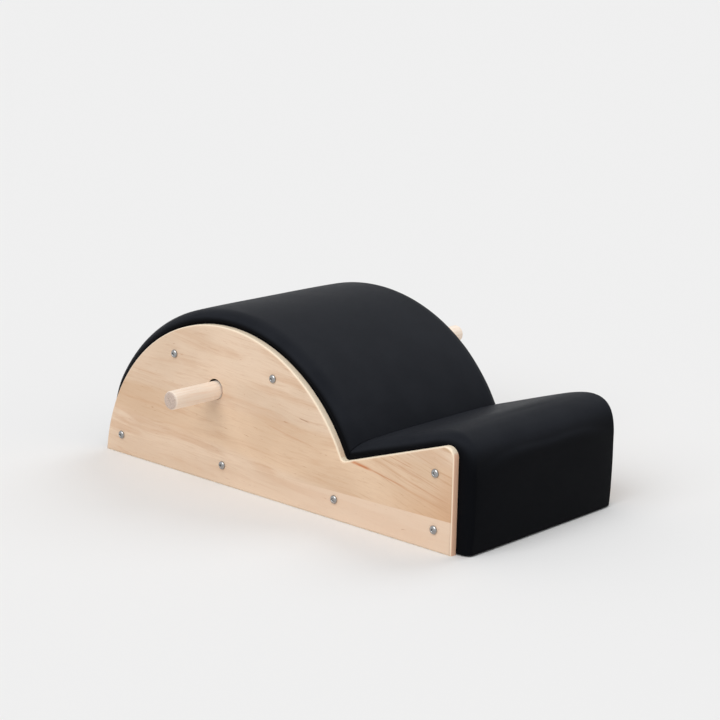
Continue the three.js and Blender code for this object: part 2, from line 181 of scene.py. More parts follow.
def smooth(value, low, high):
    share = min(max((value - low) / (high - low), 0), 1)
    return share * share * (3 - 2 * share)


def arc(centre, radius, start, end, count):
    angles = [mix(start, end, share) for share in shares(count)]
    return [centre + radius * Vector((math.cos(a), math.sin(a))) for a in angles]


# Meshes: the weight of large faces in a smooth normal, and the angles from which an edge is hard
FACE_WEIGHT = 100
HARD_EDGE = math.radians(32)
BOLT_EDGE = math.radians(40)
CUSHION_EDGE = math.radians(40)


def mesh_piece(name, points, faces, material):
    """A shaded mesh object whose faces all point out."""
    mesh = bpy.data.meshes.new(name)
    mesh.from_pydata([tuple(p) for p in points], [], faces)
    shell = bmesh.new()
    shell.from_mesh(mesh)
    bmesh.ops.recalc_face_normals(shell, faces=shell.faces)
    shell.to_mesh(mesh)
    shell.free()
    piece = bpy.data.objects.new(name, mesh)
    bpy.context.scene.collection.objects.link(piece)
    if material:
        mesh.materials.append(material)
    mesh.shade_smooth()
    return piece


def skin(rings):
    """Points and faces of a closed body through rings that have the same number of points."""
    count = len(rings[0])
    points = [point for ring in rings for point in ring]
    faces = [tuple(range(count))]
    for start in range(0, len(points) - count, count):
        for k in range(count):
            here, beside = start + k, start + (k + 1) % count
            faces.append((here, beside, beside + count, here + count))
    faces.append(tuple(len(points) - count + k for k in range(count)))
    return points, faces


def turned_rings(profile, count):
    """Rings about Y from a profile of radius and distance; a radius may depend on the angle."""
    rings = []
    for radius, y in profile:
        ring = []
        for k in range(count):
            angle = math.tau * k / count
            reach = radius(angle) if callable(radius) else radius
            ring.append(Vector((reach * math.cos(angle), y, reach * math.sin(angle))))
        rings.append(ring)
    return rings


def apply_modifiers(piece):
    graph = bpy.context.evaluated_depsgraph_get()
    graph.update()
    made = bpy.data.meshes.new_from_object(piece.evaluated_get(graph))
    piece.modifiers.clear()
    piece.data = made


def crisp(piece, edge=HARD_EDGE):
    """Keeps flat faces flat and hard edges hard while the round stretches stay smooth."""
    piece.data.shade_smooth()
    piece.data.set_sharp_from_angle(angle=edge)
    weighted = piece.modifiers.new("normals", "WEIGHTED_NORMAL")
    weighted.weight = FACE_WEIGHT
    weighted.keep_sharp = True


def drill(piece, cutters):
    """Cuts each cutter out of the piece, and removes the cutters."""
    for cutter in cutters:
        cutting = piece.modifiers.new("cut", "BOOLEAN")
        cutting.operation = "DIFFERENCE"
        cutting.solver = "EXACT"
        cutting.object = cutter
    apply_modifiers(piece)
    for cutter in cutters:
        bpy.data.objects.remove(cutter)


# Materials
class Graph:
    """A node material built around one Principled shader."""

    def __init__(self, name):
        self.material = bpy.data.materials.new(name)
        self.material.use_nodes = True
        self.tree = self.material.node_tree
        self.shader = self.tree.nodes["Principled BSDF"]

    def put(self, socket, value):
        if isinstance(value, bpy.types.NodeSocket):
            self.tree.links.new(value, socket)
        else:
            socket.default_value = value

    def node(self, kind, inputs, **settings):
        made = self.tree.nodes.new(kind)
        for key, value in settings.items():
            setattr(made, key, value)
        for key, value in inputs.items():
            self.put(made.inputs[key], value)
        return made

    def set(self, **sockets):
        for key, value in sockets.items():
            self.put(self.shader.inputs[key.replace("_", " ")], value)

    def place(self):
        return self.node("ShaderNodeTexCoord", {}).outputs["Object"]

    def noise(self, vector, scale, detail, roughness=0.5, distortion=0.0):
        inputs = {
            "Vector": vector,
            "Scale": scale,
            "Detail": detail,
            "Roughness": roughness,
            "Distortion": distortion,
        }
        return self.node("ShaderNodeTexNoise", inputs).outputs["Fac"]

    def grain(self, x, y, z, shortening, *noise):
        """Noise that is drawn out along X, by shortening the distances there."""
        return self.noise(self.joined(self.times(x, shortening), y, z), *noise)

    def cells(self, vector, scale):
        inputs = {"Vector": vector, "Scale": scale}
        made = self.node("ShaderNodeTexVoronoi", inputs, feature="DISTANCE_TO_EDGE")
        return made.outputs["Distance"]

    def maths(self, operation, first, second=0.0, third=0.0):
        made = self.node("ShaderNodeMath", {}, operation=operation)
        for socket, value in zip(made.inputs, (first, second, third)):
            self.put(socket, value)
        return made.outputs["Value"]

    def times(self, first, second):
        return self.maths("MULTIPLY", first, second)

    def size(self, value):
        """The value without its sign."""
        return self.maths("ABSOLUTE", value)

    def distance(self, across, up):
        """How far away a place is that lies so far across and so far up."""
        squares = self.maths("ADD", self.maths("POWER", across, 2), self.maths("POWER", up, 2))
        return self.maths("SQRT", squares)

    def split(self, vector):
        return self.node("ShaderNodeSeparateXYZ", {"Vector": vector}).outputs

    def facing(self):
        """The surface's direction, as X, Y and Z."""
        return self.split(self.node("ShaderNodeNewGeometry", {}).outputs["Normal"])

    def joined(self, x, y, z):
        return self.node("ShaderNodeCombineXYZ", {"X": x, "Y": y, "Z": z}).outputs["Vector"]

    def span(self, value, low, high, to_low=0.0, to_high=1.0):
        """The value mapped smoothly from one span to another."""
        inputs = {
            "Value": value,
            "From Min": low,
            "From Max": high,
            "To Min": to_low,
            "To Max": to_high,
        }
        made = self.node("ShaderNodeMapRange", inputs, interpolation_type="SMOOTHSTEP")
        return made.outputs["Result"]

    def blend(self, factor, first, second):
        made = self.node("ShaderNodeMix", {}, data_type="RGBA")
        self.put(made.inputs["Factor"], factor)
        self.put(made.inputs[6], first)
        self.put(made.inputs[7], second)
        return made.outputs[2]

    def washed(self, colour, washes):
        """The colour under washes, each a mask and its tint, in their order."""
        for mask, tint in washes:
            colour = self.blend(mask, colour, tint)
        return colour

    def bump(self, height, distance):
        made = self.node("ShaderNodeBump", {"Height": height, "Distance": distance})
        self.put(self.shader.inputs["Normal"], made.outputs["Normal"])


def linear(red, green, blue):
    """A shader colour from sRGB values of 0 to 255."""
    def channel(value):
        share = value / 255
        return share / 12.92 if share <= 0.04045 else ((share + 0.055) / 1.055) ** 2.4

    return (channel(red), channel(green), channel(blue), 1)


# Wood of the side panels. Each grain has the share that X is shortened to, a scale and a detail,
# and some have a roughness and a distortion
DRIFT = (0.3, 11, 2)
CLOUDS = (0.5, 9, 3, 0.5)
BANDS = (0.1, 46, 3, 0.55, 0.6)
STREAKS = (0.06, 210, 4, 0.65, 0.5)
FIBRES = (0.03, 1500, 2, 0.7)
FLECKS = (0.12, 420, 2, 0.5)

# How the grain runs: its rise along X, its dip at the front, and how far the drift bends it
GRAIN_SLOPE = 0.05
DIP_X = (0.12, 0.34)
DIP_MIDDLE = 0.23
DIP_SLOPE = 0.2
DRIFT_BEND = 0.035
BOARD_SHIFT = 0.4

# The joint of the lowest board
BOARD_JOINT = 51.7 * MM
BOARD_SLOPE = 0.0215
JOINT_EDGE = (0.8 * MM, -0.8 * MM)

# The warm zone of the middle board, between its top and a lower edge that falls along X
ZONE_TOP = (0.168, 0.148)
ZONE_SLOPE = -0.07
ZONE_LOW = 0.066
ZONE_EDGE = (-0.01, 0.01)

# Tints of the face, each with the span of X, Z or a grain over which it comes in, and the
# strengths at the two ends of that span where they aren't 0 and 1
CLOUD_SPAN = (0.3, 0.7)
CALM_TINTS = linear(228, 203, 178), linear(215, 189, 163)
WARM_TINTS = linear(226, 197, 167), linear(213, 183, 153)
TAIL_TINT = linear(204, 171, 139)
TAIL_AREA = (-0.2, -0.44)
TAIL_STRENGTH = 0.6
BROWN_TINT = linear(208, 164, 124)
BROWN_X = (0.24, 0.42)
BROWN_Z = (0.125, 0.065, 0, 0.55)
WORN_TINT = linear(196, 150, 112)
WORN_X = (0.385, 0.44)
WORN_Z = (0.175, 0.12, 0, 0.45)
BAND_TINT = linear(203, 164, 130)
BAND_SPAN = (0.46, 0.68, 0, 0.5)
STREAK_TINT = linear(193, 150, 114)
STREAK_SPAN = (0.5, 0.76)
STREAK_STRENGTH = 0.45
FRONT_STRENGTH = 0.3
FRONT_X = (0.16, 0.36)
FIBRE_TINT = linear(190, 150, 118)
FIBRE_SPAN = (0.35, 0.75, 0, 0.2)
LOW_BOARD_TINT = linear(228, 201, 177)
LOW_BOARD_X = (-0.05, 0.22, 0.1, 0.7)
FLECK_TINT = linear(176, 124, 88)
FLECK_SPAN = (0.7, 0.78, 0, 0.6)

# Tints of the edges, the rod's bore and the end grain, and the directions or reach that show them.
# The edges' tint is partly paler sanded wood and partly a painted highlight; the bore's dark tint
# is partly end grain and partly painted shade inside the hole
# Partly paler sanded wood, partly a painted highlight on the rounded edges
EDGE_SANDING_AND_HIGHLIGHT_TINT = linear(255, 237, 211)
EDGE_SANDING_AND_HIGHLIGHT_SPAN = (0.94, 0.5)
# Partly end grain, partly painted shade in the rod's hole
BORE_GRAIN_AND_SHADE_TINT = linear(44, 27, 17)
BORE_GRAIN_AND_SHADE_SPAN = (ROD_HOLE_RADIUS + 0.5 * MM, ROD_HOLE_RADIUS + 0.1 * MM)
END_TINT = linear(236, 182, 148)
END_SPAN = (0.8, 0.98)
END_STRENGTH = 0.8
PANEL_ROUGHNESS = (0.3, 0.8, 0.42, 0.52)
PANEL_BUMP = 0.08 * MM

# Lines of the figure on the near panel: start and end in X and Z, half width, strength and tint
NEAR_SIDE = (0.1, -0.1)
LINE_WAVE = 0.02
LINE_DROP = 0.01
LINE_FADE_SHARE = 0.3
FIGURE_LINES = (
    ((0.19, 0.124), (0.262, 0.113), 0.0052, 0.85, (196, 126, 82)),
    ((0.215, 0.1195), (0.25, 0.1145), 0.003, 0.85, (186, 112, 62)),
    ((0.235, 0.1175), (0.345, 0.0995), 0.0024, 0.75, (190, 128, 88)),
    ((0.3, 0.106), (0.44, 0.078), 0.0035, 0.35, (194, 144, 104)),
    ((0.29, 0.146), (0.44, 0.109), 0.0016, 0.45, (184, 128, 92)),
    ((0.325, 0.121), (0.445, 0.092), 0.002, 0.5, (186, 132, 96)),
    ((0.28, 0.157), (0.36, 0.139), 0.0013, 0.5, (180, 118, 82)),
    ((0.405, 0.1935), (0.45, 0.183), 0.0045, 0.6, (178, 138, 96)),
    ((0.07, 0.176), (0.1, 0.173), 0.0016, 0.7, (150, 100, 70)),
    ((-0.03, 0.15), (0.13, 0.128), 0.0022, 0.35, (190, 136, 100)),
)


def figure_line(graph, x, z, start, end, width):
    """1 on a thin line of the figure from one place to another in X and Z, fading at both ends."""
    (x0, z0), (x1, z1) = start, end
    slope = (z1 - z0) / (x1 - x0)
    middle = graph.maths("MULTIPLY_ADD", x, slope, z0 - x0 * slope)
    off = graph.size(graph.maths("SUBTRACT", z, middle))
    fade = LINE_FADE_SHARE * (x1 - x0)
    along = graph.times(graph.span(x, x0, x0 + fade), graph.span(x, x1, x1 - fade))
    return graph.times(graph.span(off, width, 0), along)


def panel_grain(graph, x, z, above):
    """The height that the grain keeps level: it rises along X and dips at the front."""
    dip = graph.times(graph.span(x, *DIP_X), graph.maths("SUBTRACT", x, DIP_MIDDLE))
    dip = graph.times(graph.times(dip, DIP_SLOPE), above)
    return graph.maths("ADD", graph.maths("MULTIPLY_ADD", x, GRAIN_SLOPE, z), dip)


def panel_washes(graph, x, z, zone, board, above, grains):
    """Masks and tints that are laid over the face's two base tones, in their order."""
    streaks, bands, fibres, flecks = grains
    tail = graph.times(graph.times(graph.span(x, *TAIL_AREA), above), zone)
    brown = graph.times(graph.span(x, *BROWN_X), graph.span(z, *BROWN_Z))
    worn = graph.times(graph.span(x, *WORN_X), graph.span(z, *WORN_Z))
    front = graph.times(graph.span(x, *FRONT_X), above)
    strength = graph.maths("MULTIPLY_ADD", front, FRONT_STRENGTH, STREAK_STRENGTH)
    return [
        (graph.times(tail, TAIL_STRENGTH), TAIL_TINT),
        (graph.times(brown, above), BROWN_TINT),
        (graph.times(worn, above), WORN_TINT),
        (graph.span(bands, *BAND_SPAN), BAND_TINT),
        (graph.times(graph.span(streaks, *STREAK_SPAN), strength), STREAK_TINT),
        (graph.span(fibres, *FIBRE_SPAN), FIBRE_TINT),
        (graph.times(board, graph.span(x, *LOW_BOARD_X)), LOW_BOARD_TINT),
        (graph.span(flecks, *FLECK_SPAN), FLECK_TINT),
    ]


def line_washes(graph, x, y, z, drift):
    """The lines of the figure, which the near panel alone shows."""
    near = graph.span(y, *NEAR_SIDE)
    wave = graph.maths("SUBTRACT", graph.maths("MULTIPLY_ADD", drift, LINE_WAVE, z), LINE_DROP)
    washes = []
    for start, end, width, strength, tint in FIGURE_LINES:
        line = graph.times(figure_line(graph, x, wave, start, end, width), near)
        washes.append((graph.times(line, strength), linear(*tint)))
    return washes


def edge_washes(graph, x, z):
    """The panel's edges with a painted highlight over their paler sanded wood, the bore of the
    rod's hole darkened with painted shade over its end grain, and the end grain at both ends.
    """
    across, through, _ = graph.facing()
    off_x, off_z = graph.maths("SUBTRACT", x, ROD_X), graph.maths("SUBTRACT", z, ROD_HOLE_HEIGHT)
    end = graph.span(graph.size(across), *END_SPAN)
    return [
        # Painted highlight over paler sanded wood: edges that turn away from the face get a light
        # cream tint
        (graph.span(graph.size(through), *EDGE_SANDING_AND_HIGHLIGHT_SPAN), EDGE_SANDING_AND_HIGHLIGHT_TINT),
        # Painted shade over end grain: the bore of the rod's hole is darkened as if in shadow
        (graph.span(graph.distance(off_x, off_z), *BORE_GRAIN_AND_SHADE_SPAN), BORE_GRAIN_AND_SHADE_TINT),
        (graph.times(end, END_STRENGTH), END_TINT),
    ]


def panel_wood():
    """Edge-glued pale hardwood in the plane of X and Z, whose grain dips towards the front."""
    graph = Graph("panel_wood")
    x, y, z = graph.split(graph.place())
    joint = graph.maths("MULTIPLY_ADD", x, BOARD_SLOPE, BOARD_JOINT)
    board = graph.span(graph.maths("SUBTRACT", z, joint), *JOINT_EDGE)
    above = graph.maths("SUBTRACT", 1, board)
    level = panel_grain(graph, x, z, above)
    drift = graph.grain(x, y, level, *DRIFT)
    row = graph.maths("MULTIPLY_ADD", board, BOARD_SHIFT, level)
    run = graph.maths("MULTIPLY_ADD", drift, DRIFT_BEND, row)
    grains = [graph.grain(x, y, run, *grain) for grain in (STREAKS, BANDS, FIBRES, FLECKS)]
    streaks, _, fibres, _ = grains

    cloud = graph.span(graph.grain(x, y, run, *CLOUDS), *CLOUD_SPAN)
    falling = graph.maths("MULTIPLY_ADD", x, ZONE_SLOPE, ZONE_LOW)
    low = graph.span(graph.maths("SUBTRACT", z, falling), *ZONE_EDGE)
    zone = graph.times(graph.span(z, *ZONE_TOP), low)
    calm, warm = graph.blend(cloud, *CALM_TINTS), graph.blend(cloud, *WARM_TINTS)
    colour = graph.blend(graph.times(zone, above), calm, warm)

    washes = panel_washes(graph, x, z, zone, board, above, grains)
    washes += line_washes(graph, x, y, z, drift)
    washes += edge_washes(graph, x, z)
    colour = graph.washed(colour, washes)
    graph.set(Base_Color=colour, Roughness=graph.span(streaks, *PANEL_ROUGHNESS))
    graph.bump(fibres, PANEL_BUMP)
    return graph.material


# Wood of the rod. Its noises have a scale, a detail, a roughness and a distortion
ROD_SHORTENING = 0.05
ROD_STREAKS = (240, 4, 0.6, 0.3)
ROD_FIBRES = (1300, 2, 0.7)
ROD_TINTS = linear(255, 240, 224), linear(246, 222, 201)
ROD_STREAK_SPAN = (0.4, 0.75)
ROD_FIBRE_TINT = linear(226, 194, 166)
ROD_FIBRE_SPAN = (0.4, 0.75, 0, 0.15)
ROD_END_SPAN = (0.25, 0.95)
ROD_RINGS = (260, 2, 0.5)
RING_STRETCH = 5
RING_SPAN = (0.35, 0.65)
RING_TINTS = linear(206, 189, 176), linear(172, 150, 137)
CHECK_TINT = linear(134, 112, 98)
CHECK_SLOPE = 0.8
CHECK_SPAN = (1.2 * MM, 0)
CHECK_REACH = (13 * MM, 6 * MM)
CHECK_STRENGTH = 0.7
ROD_ROUGHNESS = 0.48
ROD_BUMP = 0.06 * MM


def rod_end(graph, off_x, off_z):
    """End grain with its rings and one check across the middle."""
    rings = graph.noise(graph.joined(graph.times(off_z, RING_STRETCH), 0.0, off_x), *ROD_RINGS)
    grain = graph.blend(graph.span(rings, *RING_SPAN), *RING_TINTS)
    across = graph.size(graph.maths("ADD", off_x, graph.times(off_z, CHECK_SLOPE)))
    reach = graph.span(graph.distance(off_x, off_z), *CHECK_REACH)
    check = graph.times(graph.span(across, *CHECK_SPAN), reach)
    return graph.blend(graph.times(check, CHECK_STRENGTH), grain, CHECK_TINT)


def rod_wood():
    """Pale turned hardwood, with its grain along the rod and darker, checked end grain."""
    graph = Graph("rod_wood")
    x, y, z = graph.split(graph.place())
    along = graph.joined(x, graph.times(y, ROD_SHORTENING), z)
    streaks = graph.noise(along, *ROD_STREAKS)
    fibres = graph.noise(along, *ROD_FIBRES)
    colour = graph.blend(graph.span(streaks, *ROD_STREAK_SPAN), *ROD_TINTS)
    off_x, off_z = graph.maths("SUBTRACT", x, ROD_X), graph.maths("SUBTRACT", z, ROD_Z)
    end = graph.span(graph.size(graph.facing()[1]), *ROD_END_SPAN)
    washes = [
        (graph.span(fibres, *ROD_FIBRE_SPAN), ROD_FIBRE_TINT),
        (end, rod_end(graph, off_x, off_z)),
    ]
    graph.set(Base_Color=graph.washed(colour, washes), Roughness=ROD_ROUGHNESS)
    graph.bump(fibres, ROD_BUMP)
    return graph.material


# Wood of the rails
RAIL_SHORTENING = 0.06
RAIL_RINGS = (130, 3, 0.55, 0.6)
RAIL_SPAN = (0.4, 0.65)
RAIL_TINTS = linear(222, 194, 148), linear(192, 152, 100)
RAIL_ROUGHNESS = 0.7
RAIL_BUMP = 0.1 * MM


def rail_wood():
    graph = Graph("rail_wood")
    x, y, z = graph.split(graph.place())
    rings = graph.noise(graph.joined(x, graph.times(y, RAIL_SHORTENING), z), *RAIL_RINGS)
    colour = graph.blend(graph.span(rings, *RAIL_SPAN), *RAIL_TINTS)
    graph.set(Base_Color=colour, Roughness=RAIL_ROUGHNESS)
    graph.bump(rings, RAIL_BUMP)
    return graph.material


# Plywood
PLY_FACE = (0.1, 90, 4, 0.6, 0.5)
PLY_FIBRES = (0.05, 900, 2, 0.6)
PLY_SPAN = (0.35, 0.7)
PLY_TINTS = linear(216, 184, 138), linear(196, 158, 110)
PLY_FIBRE_SPAN = (0.4, 0.8, 0, 0.3)
PLY_FIBRE_TINT = linear(160, 118, 78)
PLY_ROUGHNESS = 0.72
PLY_BUMP = 0.1 * MM


def plywood():
    """The calm face of birch plywood."""
    graph = Graph("plywood")
    x, y, z = graph.split(graph.place())
    fibres = graph.grain(x, y, z, *PLY_FIBRES)
    colour = graph.blend(graph.span(graph.grain(x, y, z, *PLY_FACE), *PLY_SPAN), *PLY_TINTS)
    colour = graph.blend(graph.span(fibres, *PLY_FIBRE_SPAN), colour, PLY_FIBRE_TINT)
    graph.set(Base_Color=colour, Roughness=PLY_ROUGHNESS)
    graph.bump(fibres, PLY_BUMP)
    return graph.material


# Black coated fabric: faces that look up are painted paler, a painted highlight of the light from
# above
PEBBLE_SCALE = 820
PEBBLE_SPAN = (0, 0.16)
PORES = (2600, 2, 0.6)
PORE_SHARE = 0.25
COVER_SOFT = (14, 3, 0.5)
COVER_SPAN = (0.3, 0.7)
COVER_TINT = linear(12, 13, 16)
# Painted light: paler tints for faces that look up, with soft random tone between the two
TOP_PAINTED_LIGHT_TINTS = linear(32, 34, 39), linear(36, 38, 43)
TOP_PAINTED_LIGHT_SPAN = (0, 0.6)
COVER_ROUGHNESS = (0.42, 0.46)
COVER_SHINE = 0.018
COVER_SHINE_TINT = (0.86, 0.93, 1, 1)
COVER_BUMP = 0.08 * MM


def leather():
    """Black coated fabric with a fine pebble grain."""
    graph = Graph("cover")
    place = graph.place()
    pebbles = graph.span(graph.cells(place, PEBBLE_SCALE), *PEBBLE_SPAN)
    pores = graph.noise(place, *PORES)
    soft = graph.noise(place, *COVER_SOFT)
    # Painted light from above: the colour turns paler as the face turns up
    top_painted_light = graph.blend(graph.span(soft, *COVER_SPAN), *TOP_PAINTED_LIGHT_TINTS)
    painted_light_share = graph.span(graph.facing()[2], *TOP_PAINTED_LIGHT_SPAN)
    graph.set(
        Base_Color=graph.blend(painted_light_share, COVER_TINT, top_painted_light),
        Roughness=graph.span(soft, *COVER_SPAN, *COVER_ROUGHNESS),
        Specular_IOR_Level=COVER_SHINE,
        Specular_Tint=COVER_SHINE_TINT,
    )
    graph.bump(graph.maths("MULTIPLY_ADD", pores, PORE_SHARE, pebbles), COVER_BUMP)
    return graph.material


# Metals: their two tones, the noise that mixes them, and the roughness that follows it
STEEL_TONES = linear(176, 176, 176), linear(146, 146, 146)
STEEL_TURNING = (900, 3, 0.6)
STEEL_ROUGHNESS = (0.3, 0.7, 0.16, 0.26)
ZINC_TONES = linear(204, 192, 150), linear(178, 166, 128)
ZINC_STAIN = (500, 3, 0.6)
ZINC_ROUGHNESS = (0.3, 0.7, 0.3, 0.45)


def metal(name, tones, mottle, roughness):
    graph = Graph(name)
    mottled = graph.noise(graph.place(), *mottle)
    colour = graph.blend(mottled, *tones)
    graph.set(Base_Color=colour, Metallic=1.0, Roughness=graph.span(mottled, *roughness))
    return graph.material


def bolt_steel():
    return metal("bolt_steel", STEEL_TONES, STEEL_TURNING, STEEL_ROUGHNESS)


def insert_zinc():
    return metal("insert_zinc", ZINC_TONES, ZINC_STAIN, ZINC_ROUGHNESS)


# Camera
CAMERA_AZIMUTH = math.radians(42.358)
CAMERA_ELEVATION = math.radians(13.717)
CAMERA_ROLL = math.radians(1.210)
CAMERA_DISTANCE = 3.7531
CAMERA_TARGET = Vector((0.01577, 0, 0.23749))
CAMERA_LENS = 97.149
SENSOR_WIDTH = 36
CAMERA_REACH = 100


def camera():
    bpy.context.scene.view_settings.view_transform = "Standard"
    across = Vector((math.cos(CAMERA_AZIMUTH), math.sin(CAMERA_AZIMUTH), 0))
    level = math.cos(CAMERA_ELEVATION)
    back = Vector((across.y * level, -across.x * level, math.sin(CAMERA_ELEVATION)))
    up = back.cross(across)
    right = math.cos(CAMERA_ROLL) * across + math.sin(CAMERA_ROLL) * up
    top = math.cos(CAMERA_ROLL) * up - math.sin(CAMERA_ROLL) * across
    data = bpy.data.cameras.new("camera")
    data.lens = CAMERA_LENS
    data.sensor_width = SENSOR_WIDTH
    data.clip_end = CAMERA_REACH
    made = bpy.data.objects.new("camera", data)
    turn = Matrix((right, top, back)).transposed().to_4x4()
    made.matrix_world = Matrix.Translation(CAMERA_TARGET + CAMERA_DISTANCE * back) @ turn
    bpy.context.scene.collection.objects.link(made)
    bpy.context.scene.camera = made


# Light, floor and background
BACKGROUND = linear(239, 239, 239)
SKY_LEVEL = 0.5
KEY_LEVEL = 1.6
KEY_SOFTNESS = math.radians(50)
KEY_FROM = Vector((0.1, -0.87, 0.82))
BACK_LEVEL = 0.7
BACK_SOFTNESS = math.radians(35)
BACK_FROM = Vector((0.05, 0.7, 0.7))
FLOOR_SIZE = 60


def background_rays(tree):
    """1 for the rays that show the background: from the camera, a mirror or glass; 0 for light."""
    rays = tree.nodes.new("ShaderNodeLightPath")
    found = rays.outputs["Is Camera Ray"]
    for other in ("Is Glossy Ray", "Is Transmission Ray"):
        either = tree.nodes.new("ShaderNodeMath")
        either.operation = "MAXIMUM"
        tree.links.new(found, either.inputs[0])
        tree.links.new(rays.outputs[other], either.inputs[1])
        found = either.outputs["Value"]
    return found


def world():
    made = bpy.data.worlds.new("studio")
    bpy.context.scene.world = made
    made.use_nodes = True
    tree = made.node_tree
    sky = tree.nodes["Background"]
    sky.inputs["Strength"].default_value = SKY_LEVEL
    sky.inputs["Color"].default_value = (1, 1, 1, 1)
    shown = tree.nodes.new("ShaderNodeBackground")
    shown.inputs["Color"].default_value = BACKGROUND
    blend = tree.nodes.new("ShaderNodeMixShader")
    tree.links.new(background_rays(tree), blend.inputs["Fac"])
    tree.links.new(sky.outputs["Background"], blend.inputs[1])
    tree.links.new(shown.outputs["Background"], blend.inputs[2])
    tree.links.new(blend.outputs["Shader"], tree.nodes["World Output"].inputs["Surface"])


def soft_light(name, level, softness, direction):
    data = bpy.data.lights.new(name, "SUN")
    data.energy = level
    data.angle = softness
    light = bpy.data.objects.new(name, data)
    light.rotation_mode = "QUATERNION"
    light.rotation_quaternion = direction.to_track_quat("Z", "Y")
    bpy.context.scene.collection.objects.link(light)


def floor():
    graph = Graph("floor")
    graph.set(Base_Color=BACKGROUND, Roughness=1.0, Specular_IOR_Level=0.0)
    half = FLOOR_SIZE / 2
    corners = [(-half, -half, 0), (half, -half, 0), (half, half, 0), (-half, half, 0)]
    mesh_piece("floor", corners, [(0, 1, 2, 3)], graph.material)


# Side panels
ARC_COUNT = 150
FILLET_COUNT = 10
EDGE_COUNT = 6
INNER_EASE_COUNT = 3
HOLE_COUNT = 72


def panel_outline(inset):
    """The panel's outline, drawn in by an inset."""
    fillet = valley_point(BARREL_RADIUS + VALLEY_RADIUS, -VALLEY_RADIUS)
    meeting = angle_of(fillet)
    corner_x = PANEL_FRONT_X - STEP_CORNER_RADIUS
    corner = Vector((corner_x, step_height(corner_x, STEP_CORNER_RADIUS)))
    radius = BARREL_RADIUS - inset
    valley_end = 1.5 * math.pi + SLOPE
    return [
        *arc(AXIS, radius, tail_angle(radius, inset), meeting, ARC_COUNT),
        *arc(fillet, VALLEY_RADIUS + inset, meeting + math.pi, valley_end, FILLET_COUNT)[1:],
        *arc(corner, STEP_CORNER_RADIUS - inset, math.pi / 2 + SLOPE, 0, FILLET_COUNT),
        Vector((PANEL_FRONT_X - inset, inset)),
    ]


def rounded_edge(radius, count):
    """Insets and depths of a quarter round, from the side to the face."""
    angles = [math.pi / 2 * share for share in shares(count)]
    return [(radius * (1 - math.cos(a)), radius * (1 - math.sin(a))) for a in angles]


def side_panel(name, sign, material):
    layers = rounded_edge(PANEL_INNER_EASE, INNER_EASE_COUNT)[::-1]
    outer = rounded_edge(PANEL_EDGE_RADIUS, EDGE_COUNT)
    layers += [(inset, PANEL_THICKNESS - depth) for inset, depth in outer]
    rings = []
    for inset, depth in layers:
        y = sign * (INNER_HALF + depth)
        rings.append([Vector((p.x, y, p.y)) for p in panel_outline(inset)])
    panel = mesh_piece("panel_" + name, *skin(rings), material)
    beyond = PANEL_THICKNESS
    hole = [
        (ROD_HOLE_RADIUS, -beyond),
        (ROD_HOLE_RADIUS, PANEL_THICKNESS - ROD_HOLE_EDGE),
        (ROD_HOLE_RADIUS + ROD_HOLE_EDGE + beyond, PANEL_THICKNESS + beyond),
    ]
    cutters = [cylinder_cutter(hole, sign, Vector((ROD_X, ROD_HOLE_HEIGHT)))]
    drilled = [(BOLT_HOLE_RADIUS, -beyond), (BOLT_HOLE_RADIUS, PANEL_THICKNESS + beyond)]
    for bolt_name in bolt_names(name):
        cutters.append(cylinder_cutter(drilled, sign, bolt_place(bolt_name)))
    drill(panel, cutters)
    crisp(panel)
    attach(panel, "body")
    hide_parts("side_panel_" + name)


def cylinder_cutter(profile, sign, place):
    """A turned cutter at a place in X and Z, starting from the panel's inner face."""
    rings = turned_rings([(r, sign * (INNER_HALF + y)) for r, y in profile], HOLE_COUNT)
    shift = Vector((place.x, 0, place.y))
    rings = [[point + shift for point in ring] for ring in rings]
    return mesh_piece("cutter", *skin(rings), None)


def bolt_names(side):
    return [n for n in sorted(frame["nodes"]) if n.startswith("bolt_") and n.endswith(side)]


def bolt_place(name):
    low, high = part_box(name)
    return Vector(((low.x + high.x) / 2, (low.z + high.z) / 2))


# Bolts
BOLT_COUNT = 48
DOME_COUNT = 12


def hexagon(apothem):
    """The radius of a hexagon at an angle."""
    third = math.pi / 3
    return lambda angle: apothem / math.cos((angle + third / 2) % third - third / 2)


def bolt_mesh(material):
    """A domed head with a hexagonal socket, on a plain shank; the head points along +Y."""
    dome = HEAD_HEIGHT - HEAD_RIM
    flat = SOCKET_ACROSS_FLATS / 2
    mouth = flat / math.cos(math.pi / 6) + SOCKET_CHAMFER
    top = math.acos(mouth / HEAD_RADIUS)
    profile = [
        (BOLT_RADIUS - BOLT_POINT, -BOLT_LENGTH),
        (BOLT_RADIUS, BOLT_POINT - BOLT_LENGTH),
        (BOLT_RADIUS, 0),
        (HEAD_RADIUS - HEAD_EASE, 0),
        (HEAD_RADIUS, HEAD_EASE),
    ]
    for share in shares(DOME_COUNT):
        angle = top * share
        profile.append((HEAD_RADIUS * math.cos(angle), HEAD_RIM + dome * math.sin(angle)))
    crest = profile[-1][1]
    profile += [
        (hexagon(flat + SOCKET_CHAMFER), crest),
        (hexagon(flat), crest - SOCKET_CHAMFER),
        (hexagon(flat), crest - SOCKET_DEPTH),
        (flat * SOCKET_POINT_SHARE, crest - SOCKET_DEPTH - SOCKET_POINT),
    ]
    piece = mesh_piece("bolt", *skin(turned_rings(profile, BOLT_COUNT)), material)
    piece.data.set_sharp_from_angle(angle=BOLT_EDGE)
    return piece


